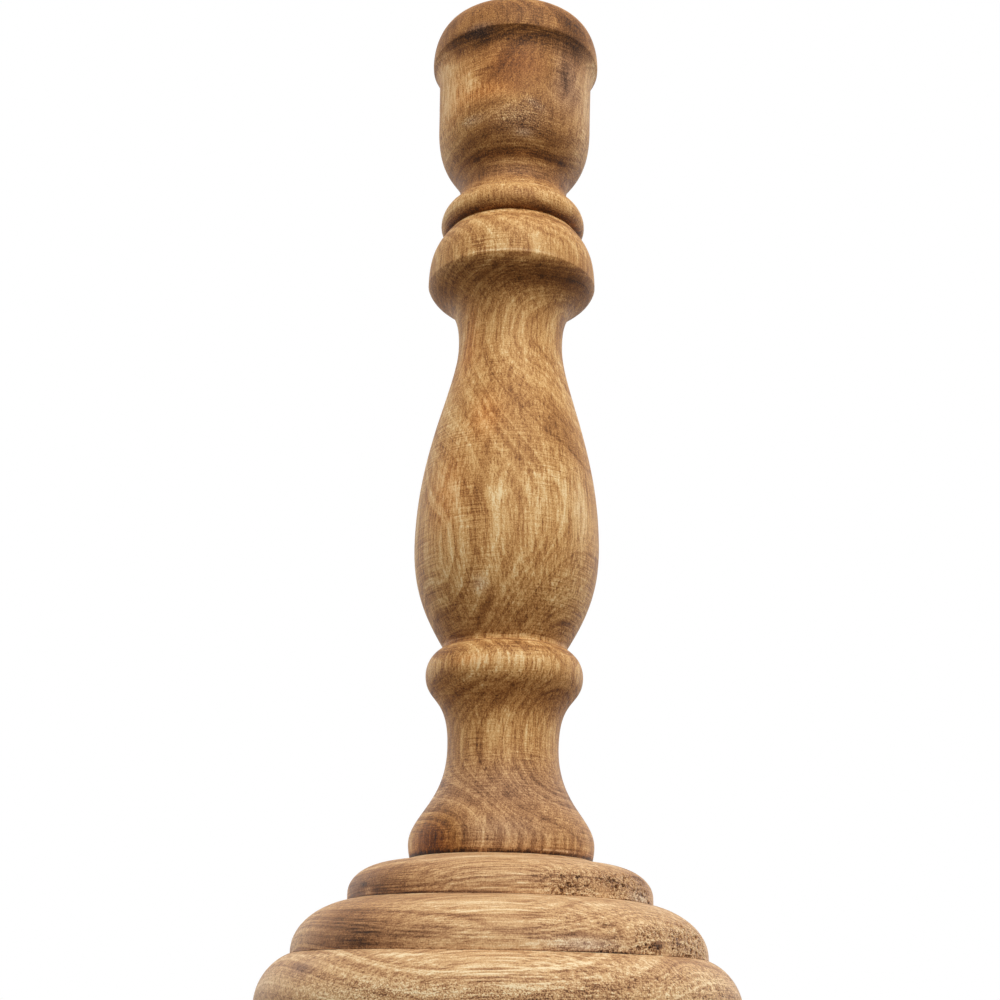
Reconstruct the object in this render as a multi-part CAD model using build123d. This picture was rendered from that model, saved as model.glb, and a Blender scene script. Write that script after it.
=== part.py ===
from build123d import *
import math
import os

# A turned wooden pricket candle stand, in millimetres, standing on z = 0 about the Z axis.
# From the floor up: felt pads, three base tiers, the baluster shaft and the candle cup.
# A bolt from below clamps the tiers to the shaft, a dowel joins the cup to it,
# and a spun brass drip pan with a spike drops into the cup.

# Fits
overrun = 1.0
glue_clearance = 0.05
thread_clearance = 0.05
bolt_hole_clearance = 0.5
pan_clearance = 0.3

# Felt pads
pad_count = 4
pad_radius = 9.0
pad_thickness = 3.0
pad_inset = 15.0
pad_first_angle = 45.0

# Bottom base tier: it steps out from the tier above, with an upright band, then an ovolo that
# still climbs where it meets that tier, because its centre lies inside that tier's edge
bottom_tier_step = 10.3
bottom_tier_height = 19.3
bottom_tier_band = 4.0
bottom_tier_centre_inset = 5.5
bottom_tier_edge_ease = 1.0

# Middle base tier
middle_tier_step = 16.8
middle_tier_height = 16.3
middle_tier_band = 1.0
middle_tier_centre_inset = 7.0

# Top base tier: its ovolo ends at a gently sloping shoulder round the shaft's foot
top_tier_step = 19.2
top_tier_height = 13.4
top_tier_band = 2.5
top_tier_shoulder_width = 4.8
top_tier_shoulder_rise = 1.5

# Foot and spool of the shaft. Each moulding above the foot steps out or in from the one below it
foot_radius = 29.9
foot_edge_inset = 0.7
foot_rise = 4.8
spool_depth = 11.65
spool_rise = 31.2

# Lower bead and the groove above it
low_bead_step = 7.95
low_bead_rise = 23.8
low_groove_depth = 5.3
low_groove_rise = 8.6
low_groove_land = 1.2

# Vase, neck and collar of the shaft
vase_step = 10.6
vase_rise = 34.9
neck_depth = 13.05
neck_rise = 74.5
collar_step = 11.6
collar_rise = 23.2
collar_crown_width = 6.65
collar_height = 20.2

# Candle cup: bead and the quirk behind it, neck, bowl, wall, lip cove and rolled lip
cup_bead_step = 2.75
cup_bead_rise = 4.4
cup_quirk_depth = 4.55
cup_quirk_rise = 7.6
cup_neck_depth = 2.0
cup_neck_rise = 5.6
cup_bowl_step = 8.65
cup_bowl_rise = 28.0
cup_wall_flare = 0.3
cup_wall_rise = 17.5
lip_overhang = 2.65
lip_cove_rise = 8.0
lip_edge_draft = 0.1
lip_edge_rise = 1.5
lip_round_width = 6.4
lip_round_rise = 13.5
lip_land_width = 2.5

# Handles of the turned curves, each an (out, up) pair of shares of the curve's own run and rise
upright_share = 0.0
spool_low_shares = ((upright_share, 0.28), (upright_share, 0.58))
spool_high_shares = ((upright_share, 0.74), (upright_share, 0.37))
vase_low_shares = ((0.52, 0.27), (upright_share, 0.47))
vase_high_shares = ((upright_share, 0.47), (upright_share, 0.22))
collar_under_shares = ((upright_share, 0.845), (0.245, 0.33))
collar_band_shares = ((upright_share, 0.59), (0.57, 0.24))
cup_neck_shares = ((0.2, 0.3), (upright_share, 0.4))
cup_bowl_shares = ((upright_share, 0.33), (upright_share, 0.74))

# Dowel between shaft and cup
dowel_radius = 6.0
dowel_length = 40.0
dowel_end_gap = 1.0
dowel_end_chamfer = 1.0

# Knock-down bolt, its washer and the threaded insert in the shaft's foot
bolt_radius = 4.0
bolt_end_gap = 2.0
bolt_end_chamfer = 1.0
bolt_head_across_flats = 13.0
bolt_head_height = 5.3
bolt_washer_radius = 12.0
bolt_washer_thickness = 2.0
bolt_recess_clearance = 1.0
bolt_recess_gap = 1.7
insert_radius = 6.0
insert_length = 20.0
insert_flange_radius = 7.5
insert_flange_thickness = 1.5
insert_end_gap = 2.0

# Drip pan: spun brass sheet with a flange that rests on the cup's lip
pan_sheet = 1.0
pan_depth = 17.0
pan_floor_gap = 1.5
pan_flange_inset = 0.4
pan_corner_round = 2.0
pan_mouth_round_share = 0.6
pan_rim_round_share = 0.35

# Pricket spike with its collar, threaded shank, washer and nut
spike_length = 33.5
spike_radius = 3.2
spike_tip_radius = 0.5
spike_collar_width = 1.8
spike_collar_height = 2.8
spike_collar_round = 1.2
spike_seat_depth = 0.3
spike_seat_clearance = 0.2
shank_radius = 2.5
shank_tail = 1.0
shank_end_chamfer = 0.5
pricket_washer_radius = 5.0
pricket_washer_thickness = 1.0
pricket_nut_across_flats = 8.0
pricket_nut_height = 4.0
nut_pocket_clearance = 2.5
nut_pocket_gap = 2.0

# Radii, each counted from the piece or moulding beside it
foot_edge_radius = foot_radius - foot_edge_inset
top_tier_radius = foot_edge_radius + top_tier_step
middle_tier_radius = top_tier_radius + middle_tier_step
bottom_tier_radius = middle_tier_radius + bottom_tier_step
spool_radius = foot_radius - spool_depth
low_bead_radius = spool_radius + low_bead_step
low_groove_radius = low_bead_radius - low_groove_depth
vase_radius = low_groove_radius + vase_step
neck_radius = vase_radius - neck_depth
collar_radius = neck_radius + collar_step
collar_top_radius = collar_radius - collar_crown_width
cup_bead_radius = collar_top_radius + cup_bead_step
cup_quirk_radius = cup_bead_radius - cup_quirk_depth
cup_neck_radius = cup_quirk_radius - cup_neck_depth
cup_bowl_radius = cup_neck_radius + cup_bowl_step
cup_wall_radius = cup_bowl_radius + cup_wall_flare
lip_radius = cup_wall_radius + lip_overhang
lip_arris_radius = lip_radius - lip_edge_draft
lip_crown_radius = lip_radius - lip_round_width
pan_recess_radius = lip_crown_radius - lip_land_width
spike_collar_radius = spike_radius + spike_collar_width
nut_pocket_radius = pricket_washer_radius + nut_pocket_clearance

# Heights, each counted up from the piece below it
base_bottom = pad_thickness
middle_tier_bottom = base_bottom + bottom_tier_height
top_tier_bottom = middle_tier_bottom + middle_tier_height
shaft_bottom = top_tier_bottom + top_tier_height
foot_z = shaft_bottom + foot_rise
spool_z = foot_z + spool_rise
low_bead_z = spool_z + low_bead_rise
low_groove_z = low_bead_z + low_groove_rise
vase_root_z = low_groove_z + low_groove_land
vase_z = vase_root_z + vase_rise
neck_z = vase_z + neck_rise
collar_z = neck_z + collar_rise
shaft_top = collar_z + collar_height
cup_bead_z = shaft_top + cup_bead_rise
cup_quirk_z = cup_bead_z + cup_quirk_rise
cup_neck_z = cup_quirk_z + cup_neck_rise
cup_bowl_z = cup_neck_z + cup_bowl_rise
cup_wall_z = cup_bowl_z + cup_wall_rise
lip_arris_z = cup_wall_z + lip_cove_rise
lip_z = lip_arris_z + lip_edge_rise
cup_top = lip_z + lip_round_rise
pan_floor_top = cup_top - pan_depth
pan_underside = pan_floor_top - pan_sheet
pan_recess_floor = pan_underside - pan_floor_gap
pricket_nut_top = pan_underside - pricket_washer_thickness
pricket_nut_bottom = pricket_nut_top - pricket_nut_height
shank_bottom = pricket_nut_bottom - shank_tail
nut_pocket_floor = shank_bottom - nut_pocket_gap
spike_seat = pan_floor_top - spike_seat_depth
spike_root = spike_seat + spike_collar_height
spike_tip = spike_root + spike_length
bolt_head_bottom = base_bottom + bolt_recess_gap
bolt_head_top = bolt_head_bottom + bolt_head_height
bolt_recess_floor = bolt_head_top + bolt_washer_thickness
insert_top = shaft_bottom + insert_length
bolt_top = insert_top - bolt_end_gap
dowel_bottom = shaft_top - dowel_length / 2
dowel_top = shaft_top + dowel_length / 2


def turned(*outline):
    """A solid turned from a closed half outline, drawn as (radius, height)."""
    return revolve(Plane.XZ * make_face(outline), Axis.Z)


def turned_curve(start, end, shares):
    """A curve between two points, whose handles are shares of its run and rise."""
    run = end[0] - start[0]
    rise = end[1] - start[1]
    (start_out, start_up), (end_out, end_up) = shares
    start_handle = (start[0] + start_out * run, start[1] + start_up * rise)
    end_handle = (end[0] - end_out * run, end[1] - end_up * rise)
    return Bezier(start, start_handle, end_handle, end)


def rod(radius, low, high):
    """A round rod on the stand's axis, also used as a cutter."""
    return Pos(0, 0, low) * Cylinder(radius, high - low, align=(Align.CENTER, Align.CENTER, Align.MIN))


def hexagon(across_flats, low, high):
    """A hexagonal prism on the stand's axis."""
    outline = RegularPolygon(across_flats / 2, 6, major_radius=False)
    return extrude(Pos(0, 0, low) * outline, high - low)


def circle_edge(solid, radius, height):
    """The round edge of a turned solid that has this radius, nearest to this height."""
    circles = solid.edges().filter_by(GeomType.CIRCLE)
    return min(circles, key=lambda edge: abs(edge.radius - radius) + abs(edge.center().Z - height))


def felt_pads():
    """Round stick-on pads in a ring under the base, as one group of separate discs."""
    ring = PolarLocations(bottom_tier_radius - pad_inset, pad_count, pad_first_angle)
    return Compound([place * rod(pad_radius, 0, pad_thickness) for place in ring.locations])


def base_tier(bottom, top, radius, band, centre_inset, *crown):
    """A disc with an upright band, an ovolo up to the first crown point, and a bolt hole."""
    crown_radius, crown_height = crown[0]
    spring = bottom + band
    centre = (crown_radius - centre_inset, spring)
    half_width = radius - centre[0]
    sweep = math.acos(centre_inset / half_width)
    half_height = (crown_height - spring) / math.sin(sweep)
    ovolo = EllipticalCenterArc(centre, half_width, half_height, arc_size=math.degrees(sweep))
    rest = Polyline(*crown, (0, top), (0, bottom), (radius, bottom), (radius, spring))
    bolt_hole = rod(bolt_radius + bolt_hole_clearance, bottom - overrun, top + overrun)
    return turned(ovolo, rest) - bolt_hole


def base_tier_bottom():
    """The widest tier, with its lower edge eased and a recess for the bolt's head."""
    crown = (middle_tier_radius, middle_tier_bottom)
    edge = (bottom_tier_radius, bottom_tier_band, bottom_tier_centre_inset)
    tier = base_tier(base_bottom, middle_tier_bottom, *edge, crown)
    tier = chamfer(circle_edge(tier, bottom_tier_radius, base_bottom), bottom_tier_edge_ease)
    recess_radius = bolt_washer_radius + bolt_recess_clearance
    return tier - rod(recess_radius, base_bottom - overrun, bolt_recess_floor)


def base_tier_middle():
    crown = (top_tier_radius, top_tier_bottom)
    edge = (middle_tier_radius, middle_tier_band, middle_tier_centre_inset)
    return base_tier(middle_tier_bottom, top_tier_bottom, *edge, crown)


def base_tier_top():
    """The narrowest tier, with a shoulder that slopes up to the shaft's foot."""
    seat = (foot_edge_radius, shaft_bottom)
    crown = (foot_edge_radius + top_tier_shoulder_width, shaft_bottom - top_tier_shoulder_rise)
    return base_tier(top_tier_bottom, shaft_bottom, top_tier_radius, top_tier_band, 0, crown, seat)


def baluster_shaft():
    """The spindle: flared foot, spool, bead, vase, neck and collar, drilled at both ends."""
    foot = (foot_radius, foot_z)
    spool = (spool_radius, spool_z)
    bead = (low_bead_radius, low_bead_z)
    groove = (low_groove_radius, low_groove_z)
    root = (low_groove_radius, vase_root_z)
    vase = (vase_radius, vase_z)
    neck = (neck_radius, neck_z)
    collar = (collar_radius, collar_z)
    foot_edge = (foot_edge_radius, shaft_bottom)
    collar_top = (collar_top_radius, shaft_top)
    shaft = turned(
        Polyline(collar_top, (0, shaft_top), (0, shaft_bottom), foot_edge),
        TangentArc(foot, foot_edge, tangent=(0, -1)),
        turned_curve(foot, spool, spool_low_shares),
        turned_curve(spool, bead, spool_high_shares),
        TangentArc(bead, groove, tangent=(0, 1)),
        Line(groove, root),
        turned_curve(root, vase, vase_low_shares),
        turned_curve(vase, neck, vase_high_shares),
        turned_curve(neck, collar, collar_under_shares),
        turned_curve(collar, collar_top, collar_band_shares),
    )
    shaft -= rod(dowel_radius + glue_clearance, dowel_bottom - dowel_end_gap, shaft_top + overrun)
    shaft -= rod(insert_radius + glue_clearance, shaft_bottom - overrun, insert_top + insert_end_gap)
    flange_top = shaft_bottom + insert_flange_thickness
    return shaft - rod(insert_flange_radius + glue_clearance, shaft_bottom - overrun, flange_top)


def candle_cup():
    """The cup: bead, neck, bowl, wall and rolled lip, recessed for the pan and bored for the dowel."""
    cup_foot = (collar_top_radius, shaft_top)
    bead = (cup_bead_radius, cup_bead_z)
    quirk = (cup_quirk_radius, cup_quirk_z)
    neck = (cup_neck_radius, cup_neck_z)
    bowl = (cup_bowl_radius, cup_bowl_z)
    wall = (cup_wall_radius, cup_wall_z)
    arris = (lip_arris_radius, lip_arris_z)
    lip = (lip_radius, lip_z)
    cup = turned(
        Polyline((lip_crown_radius, cup_top), (0, cup_top), (0, shaft_top), cup_foot),
        TangentArc(bead, cup_foot, tangent=(0, -1)),
        TangentArc(bead, quirk, tangent=(0, 1)),
        turned_curve(quirk, neck, cup_neck_shares),
        turned_curve(neck, bowl, cup_bowl_shares),
        Line(bowl, wall),
        TangentArc(wall, arris, tangent=(0, 1)),
        Line(arris, lip),
        EllipticalCenterArc((lip_crown_radius, lip_z), lip_round_width, lip_round_rise),
    )
    cup -= rod(pan_recess_radius, pan_recess_floor, cup_top + overrun)
    cup -= rod(nut_pocket_radius, nut_pocket_floor, cup_top + overrun)
    return cup - rod(dowel_radius + glue_clearance, shaft_top - overrun, dowel_top + dowel_end_gap)


def cup_dowel():
    dowel = rod(dowel_radius, dowel_bottom, dowel_top)
    return chamfer(dowel.edges().filter_by(GeomType.CIRCLE), dowel_end_chamfer)


def base_bolt():
    shank = rod(bolt_radius, bolt_head_top, bolt_top)
    shank = chamfer(circle_edge(shank, bolt_radius, bolt_top), bolt_end_chamfer)
    return shank + hexagon(bolt_head_across_flats, bolt_head_bottom, bolt_head_top)


def bolt_washer():
    disc = rod(bolt_washer_radius, bolt_head_top, bolt_recess_floor)
    return disc - rod(bolt_radius + bolt_hole_clearance, bolt_head_top - overrun, bolt_recess_floor + overrun)


def threaded_insert():
    """A flanged sleeve in the shaft's foot that the bolt screws into."""
    sleeve = rod(insert_radius, shaft_bottom, insert_top)
    sleeve += rod(insert_flange_radius, shaft_bottom, shaft_bottom + insert_flange_thickness)
    return sleeve - rod(bolt_radius + thread_clearance, shaft_bottom - overrun, insert_top + overrun)


def drip_pan():
    """A spun dish: a pot hung from a flange, with a seat and a hole in its floor for the spike."""
    outer_radius = pan_recess_radius - pan_clearance
    inner_radius = outer_radius - pan_sheet
    flange_top = cup_top + pan_sheet
    flange_radius = lip_crown_radius - pan_flange_inset
    pot = rod(outer_radius, pan_underside, flange_top)
    pot = fillet(circle_edge(pot, outer_radius, pan_underside), pan_corner_round + pan_sheet)
    flange = rod(flange_radius, cup_top, flange_top)
    flange = fillet(flange.edges().filter_by(GeomType.CIRCLE), pan_rim_round_share * pan_sheet)
    hollow = rod(inner_radius, pan_floor_top, flange_top + overrun)
    hollow = fillet(circle_edge(hollow, inner_radius, pan_floor_top), pan_corner_round)
    pan = pot + flange - hollow
    pan = fillet(circle_edge(pan, inner_radius, flange_top), pan_mouth_round_share * pan_sheet)
    pan -= rod(spike_collar_radius + spike_seat_clearance, spike_seat, pan_floor_top + overrun)
    return pan - rod(shank_radius + glue_clearance, pan_underside - overrun, pan_floor_top + overrun)


def pricket_spike():
    """The spike that holds the candle, with a rounded collar and a shank through the pan."""
    spike = turned(
        Polyline(
            (0, spike_tip),
            (spike_tip_radius, spike_tip),
            (spike_radius, spike_root),
            (spike_collar_radius, spike_root),
            (spike_collar_radius, spike_seat),
            (shank_radius, spike_seat),
            (shank_radius, shank_bottom),
            (0, shank_bottom),
            (0, spike_tip),
        )
    )
    spike = fillet(circle_edge(spike, spike_collar_radius, spike_root), spike_collar_round)
    return chamfer(circle_edge(spike, shank_radius, shank_bottom), shank_end_chamfer)


def pricket_washer():
    disc = rod(pricket_washer_radius, pricket_nut_top, pan_underside)
    return disc - rod(shank_radius + glue_clearance, pricket_nut_top - overrun, pan_underside + overrun)


def pricket_nut():
    nut = hexagon(pricket_nut_across_flats, pricket_nut_bottom, pricket_nut_top)
    return nut - rod(shank_radius + thread_clearance, pricket_nut_bottom - overrun, pricket_nut_top + overrun)


pieces = [
    felt_pads,
    base_tier_bottom,
    base_tier_middle,
    base_tier_top,
    base_bolt,
    bolt_washer,
    threaded_insert,
    baluster_shaft,
    cup_dowel,
    candle_cup,
    drip_pan,
    pricket_spike,
    pricket_washer,
    pricket_nut,
]
os.makedirs("parts", exist_ok=True)
for piece in pieces:
    export_step(piece(), f"parts/{piece.__name__}.step")
print(f"{len(pieces)} pieces, {spike_tip:.1f} mm to the spike's tip, {cup_top:.1f} mm to the lip")
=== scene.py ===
# %% [markdown]
# # A turned wooden candle stand
# The stand is five pieces of mango wood off a lathe: three base tiers, a baluster shaft and a
# candle cup. A brass drip pan with a spike lifts out of the cup, and felt pads sit under the base.
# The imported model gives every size. This script gives the wood its grain, its lathe marks and its
# torn and chipped places, and the metal and felt their finish.

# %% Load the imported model
import math
from collections import namedtuple

import bpy
import numpy as np
from mathutils import Matrix, Vector


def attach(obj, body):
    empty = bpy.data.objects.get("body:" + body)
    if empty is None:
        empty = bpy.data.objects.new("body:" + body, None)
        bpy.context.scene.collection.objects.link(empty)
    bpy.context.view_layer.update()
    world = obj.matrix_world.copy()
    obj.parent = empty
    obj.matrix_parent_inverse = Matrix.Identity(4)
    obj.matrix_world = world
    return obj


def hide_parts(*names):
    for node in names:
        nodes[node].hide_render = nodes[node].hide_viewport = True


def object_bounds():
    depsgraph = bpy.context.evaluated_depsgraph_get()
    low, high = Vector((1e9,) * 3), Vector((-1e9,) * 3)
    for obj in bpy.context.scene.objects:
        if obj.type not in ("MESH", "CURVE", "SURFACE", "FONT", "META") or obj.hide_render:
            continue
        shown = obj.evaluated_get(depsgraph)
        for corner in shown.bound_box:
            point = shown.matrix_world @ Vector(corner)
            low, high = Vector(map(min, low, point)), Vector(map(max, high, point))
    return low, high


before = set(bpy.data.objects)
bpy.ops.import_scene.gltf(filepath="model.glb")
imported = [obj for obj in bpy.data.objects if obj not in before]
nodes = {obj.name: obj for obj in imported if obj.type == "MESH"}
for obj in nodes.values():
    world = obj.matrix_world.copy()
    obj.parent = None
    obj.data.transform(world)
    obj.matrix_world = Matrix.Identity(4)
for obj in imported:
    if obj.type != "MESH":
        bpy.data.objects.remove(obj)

MM = 0.001
cad_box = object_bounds()
print(f"{len(nodes)} nodes, {(cad_box[1] - cad_box[0]).z / MM:.1f} mm tall")

# %% [markdown]
# ## The camera
# The photograph was taken from table height, close by, with the camera tipped up, which is why the
# mouldings show their undersides. The round edges of the mouldings, seen as ellipses, give the
# distance, the tip and the lens. A camera at the wrong height could never show the same edges, so
# this comes before any looks.

# %% Camera
LENS_MM = 55.05
SENSOR_MM = 36.0
CLIP_FROM_MM = 10.0
CAMERA_PLACE = Vector((0.0, -500.0, 4.97)) * MM
TIPPED_UP = math.radians(18.67)
TURNED_LEFT = math.radians(0.3)
ROLLED = math.radians(1.16)
PICTURE_PIXELS = 1000

scene = bpy.context.scene
camera_data = bpy.data.cameras.new("camera")
camera_data.lens = LENS_MM
camera_data.sensor_width = SENSOR_MM
camera_data.clip_start = CLIP_FROM_MM * MM
camera = bpy.data.objects.new("camera", camera_data)
level = Matrix.Rotation(math.pi / 2 + TIPPED_UP, 4, "X")
turned = Matrix.Rotation(TURNED_LEFT, 4, "Z") @ level @ Matrix.Rotation(ROLLED, 4, "Z")
camera.matrix_world = Matrix.Translation(CAMERA_PLACE) @ turned
scene.collection.objects.link(camera)
scene.camera = camera
scene.view_settings.view_transform = "Standard"
print(f"camera {-CAMERA_PLACE.y / MM:.0f} mm in front, tipped up {math.degrees(TIPPED_UP):.1f} degrees")

# %% [markdown]
# ## Colours and nodes
# Colours are written as sRGB hex values, as a colour picker shows them, and shaders work on linear
# light, so one function turns the first into the second. Every node tree below is built by one
# small function that adds a node, sets it and links it.

# %% Helpers
def linear(hex_colour):
    """An sRGB hex colour as linear red, green, blue and alpha."""
    shares = [int(hex_colour[i : i + 2], 16) / 255 for i in (1, 3, 5)]
    return [s / 12.92 if s <= 0.04045 else ((s + 0.055) / 1.055) ** 2.4 for s in shares] + [1.0]


def feed(tree, node, inputs):
    """Fills a node's inputs. Each is a value, a socket, or a node whose first output is meant."""
    for key, value in inputs.items():
        if isinstance(value, bpy.types.Node):
            value = value.outputs[0]
        if isinstance(value, bpy.types.NodeSocket):
            tree.links.new(value, node.inputs[key])
        else:
            node.inputs[key].default_value = value


def add_node(tree, kind, inputs=None, **settings):
    """Adds a node with its settings and inputs.

    Most nodes are shader nodes, so that part of a kind is left out. What a node works out can
    follow its kind, as in "Math ADD".
    """
    kind, _, operation = kind.partition(" ")
    made = tree.nodes.new(kind if "Node" in kind else "ShaderNode" + kind)
    if operation:
        made.operation = operation
    for name, value in settings.items():
        setattr(made, name, value)
    feed(tree, made, inputs or {})
    return made


def new_material(name):
    """A new material, its node tree and its shader."""
    made = bpy.data.materials.new(name)
    made.use_nodes = True
    return made, made.node_tree, made.node_tree.nodes["Principled BSDF"]


print("mid brown in linear light:", [round(c, 3) for c in linear("#A87C4F")[:3]])

# %% [markdown]
# ## Light, background and floor
# The photograph has a white background and soft light from the front and above, so the tops of the
# mouldings are bright and their undersides are about a third as bright. One wide softbox gives that.
# The stand's edges are pale as well, as between two bright walls, so two wide and weak lamps stand
# a little behind it, left and right. A bright world could light everything by itself, but then no
# underside would be dark. So the world is white only where it is seen, and lights the wood at half
# that level. The floor is matt paper that keeps the shadow and fades to white further away.

# %% World and lamps
WORLD_LEVEL = 0.5
Lamp = namedtuple("Lamp", "place_mm size_mm watts")
LAMPS = {
    "front_softbox": Lamp((300, -950, 1150), 1000, 16.6),
    "left_wall": Lamp((-1000, 650, 200), 1200, 6.4),
    "right_wall": Lamp((1000, 650, 200), 1200, 6.4),
}


def seen_straight(tree):
    """1 where the camera sees a surface, by itself, in a gloss or through glass. 0 for its light."""
    path = add_node(tree, "LightPath").outputs
    seen = path["Is Camera Ray"]
    for ray in ("Is Glossy Ray", "Is Transmission Ray"):
        seen = add_node(tree, "Math MAXIMUM", {0: seen, 1: path[ray]})
    return seen


world = bpy.data.worlds.new("studio")
world.use_nodes = True
tree = world.node_tree
tree.nodes.clear()
strength = {"Value": seen_straight(tree), "To Min": WORLD_LEVEL, "To Max": 1.0}
strength = add_node(tree, "MapRange", strength)
white = add_node(tree, "Background", {"Color": linear("#FFFFFF"), "Strength": strength})
add_node(tree, "OutputWorld", {"Surface": white})
scene.world = world

stand_middle = (cad_box[0] + cad_box[1]) / 2
for name, (place_mm, size_mm, watts) in LAMPS.items():
    lamp = bpy.data.lights.new(name, "AREA")
    lamp.size = size_mm * MM
    lamp.energy = watts
    lamp_object = bpy.data.objects.new(name, lamp)
    lamp_object.location = Vector(place_mm) * MM
    aim = stand_middle - lamp_object.location
    lamp_object.rotation_euler = aim.to_track_quat("-Z", "Y").to_euler()
    scene.collection.objects.link(lamp_object)
    print(f"{name}: {aim.length / MM:.0f} mm from the stand, {watts} W")

# %% Floor
FLOOR_HALF_M = 4.0
FADE_FROM_M = 0.3
FADE_TO_M = 1.2

floor_mesh = bpy.data.meshes.new("floor")
half = FLOOR_HALF_M
floor_corners = [(-half, -half, 0), (half, -half, 0), (half, half, 0), (-half, half, 0)]
floor_mesh.from_pydata(floor_corners, [], [(0, 1, 2, 3)])
floor = bpy.data.objects.new("floor", floor_mesh)
scene.collection.objects.link(floor)

# Matt white paper: it looks pale, and throws back less light than that, so undersides stay dark
floor_paper, tree, shader = new_material("matt_white_paper")
seen = seen_straight(tree)
shade = {0: seen, 6: linear("#5F5D5A"), 7: linear("#E8E6E3")}
shade = add_node(tree, "Mix", shade, data_type="RGBA").outputs[2]
feed(tree, shader, {"Base Color": shade, "Roughness": 0.9})
away = add_node(tree, "TexCoord").outputs["Object"]
away = add_node(tree, "VectorMath LENGTH", {0: away}).outputs["Value"]
fade = {"Value": away, "From Min": FADE_FROM_M, "From Max": FADE_TO_M}
fade = add_node(tree, "MapRange", fade, interpolation_type="SMOOTHSTEP")
fade = add_node(tree, "Math MULTIPLY", {0: fade, 1: seen})
white = add_node(tree, "Emission", {"Color": linear("#FFFFFF")})
faded = add_node(tree, "MixShader", {0: fade, 1: shader, 2: white})
feed(tree, tree.nodes["Material Output"], {"Surface": faded})
floor_mesh.materials.append(floor_paper)
print(f"floor {2 * half:.0f} m across, white from {FADE_TO_M} m away")

# %% [markdown]
# ## Reading the outline of a turned piece
# Every point of a turned piece, folded round the axis to (radius, height), lies on one outline. The
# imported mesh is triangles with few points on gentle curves, too coarse for grain and chips, so the
# outline is read back from it and drawn again. Faces that look away from the axis make the turned
# side. The rest are flats and drilled holes, whose corners are followed from one end of the side
# until they reach the other end or stop at a hole's floor.

# %% Outline of a turned piece
LOOKS_OUT = 0.02
SAME_POINT_MM = 0.05


def fold(point):
    """A point's radius and height in millimetres."""
    return round(math.hypot(point.x, point.y) / MM, 3), round(point.z / MM, 3)


def read_outline(mesh):
    """The turned side from bottom to top, and the corners inside it from each of its ends."""
    side = set()
    beside = {}
    for face in mesh.polygons:
        out = Vector((face.center.x, face.center.y, 0)).normalized()
        folded = {fold(mesh.vertices[i].co) for i in face.vertices}
        if face.normal.dot(out) > LOOKS_OUT:
            side |= folded
        else:
            for corner in folded:
                beside.setdefault(corner, set()).update(folded - {corner})
    side = sorted(side, key=lambda corner: corner[1])
    kept = side[:1]
    for corner in side[1:]:
        if math.dist(corner, kept[-1]) > SAME_POINT_MM:
            kept.append(corner)
    return kept, walk_inside(kept[0], kept[-1], beside), walk_inside(kept[-1], kept[0], beside)


def walk_inside(start, stop, beside):
    """Follows flats and holes from one end of the side, to the axis or to the other end."""
    passed = [start]
    while True:
        ahead = [c for c in beside.get(passed[-1], ()) if c not in passed]
        if stop in ahead:
            return passed[1:]
        if not ahead:
            return passed[1:] + [(0.0, passed[-1][1])]
        passed.append(max(ahead, key=lambda corner: math.dist(corner, passed[-1])))


BASE_TIERS = ("base_tier_bottom", "base_tier_middle", "base_tier_top")
outlines = {}
for name in (*BASE_TIERS, "baluster_shaft", "candle_cup"):
    outlines[name] = read_outline(nodes[name].data)
    side, below, above = outlines[name]
    print(f"{name}: {len(side)} points on its side, {len(below)} and {len(above)} corners inside")

# %% [markdown]
# ## Rows of the outline
# The turned side is split at its sharp arrises, and each stretch between two arrises is drawn again
# as a smooth curve through the points that were read. Rows are close together near an arris, where
# chips need them, and further apart on open curves. Each row keeps its distance along the outline,
# which the lathe marks follow, and how near it is to an arris.

# %% Rows of the outline
ARRIS_TURN = math.radians(15)
ARRIS_REACH_MM = 1.6
FLAT_STEP_MM = 6.0


def split_at_arrises(points):
    """Cuts a polyline wherever it turns sharply."""
    steps = np.diff(points, axis=0)
    heading = np.unwrap(np.arctan2(steps[:, 1], steps[:, 0]))
    sharp = np.flatnonzero(np.abs(np.diff(heading)) > ARRIS_TURN) + 1
    ends = [0, *sharp, len(points) - 1]
    return [points[a : b + 1] for a, b in zip(ends, ends[1:])]


def smooth_stretch(points, open_step, arris_step):
    """Rows on a cubic curve through the points, closer together towards both ends."""
    chord = np.r_[0, np.cumsum(np.linalg.norm(np.diff(points, axis=0), axis=1))]
    if len(points) < 3:
        slope = np.repeat(np.diff(points, axis=0) / chord[-1], 2, axis=0)
    else:
        slope = np.gradient(points, chord, axis=0)
    places = [0.0]
    while places[-1] < chord[-1]:
        to_end = min(places[-1], chord[-1] - places[-1])
        near = max(0.0, 1 - to_end / (2 * ARRIS_REACH_MM))
        places.append(places[-1] + open_step + (arris_step - open_step) * near)
    places = np.array(places) * chord[-1] / places[-1]
    k = np.clip(np.searchsorted(chord, places, side="right") - 1, 0, len(chord) - 2)
    run = (chord[k + 1] - chord[k])[:, None]
    t = (places[:, None] - chord[k][:, None]) / run
    start = (1 + 2 * t) * (1 - t) ** 2 * points[k] + t * (1 - t) ** 2 * run * slope[k]
    end = t * t * (3 - 2 * t) * points[k + 1] + t * t * (t - 1) * run * slope[k + 1]
    return start + end


def flat_rows(corners, arris_step):
    """Rows over the flats and holes between corners, without the first corner."""
    runs = [np.array(ends) for ends in zip(corners, corners[1:])]
    return np.vstack([smooth_stretch(run, FLAT_STEP_MM, arris_step)[1:] for run in runs])


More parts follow.
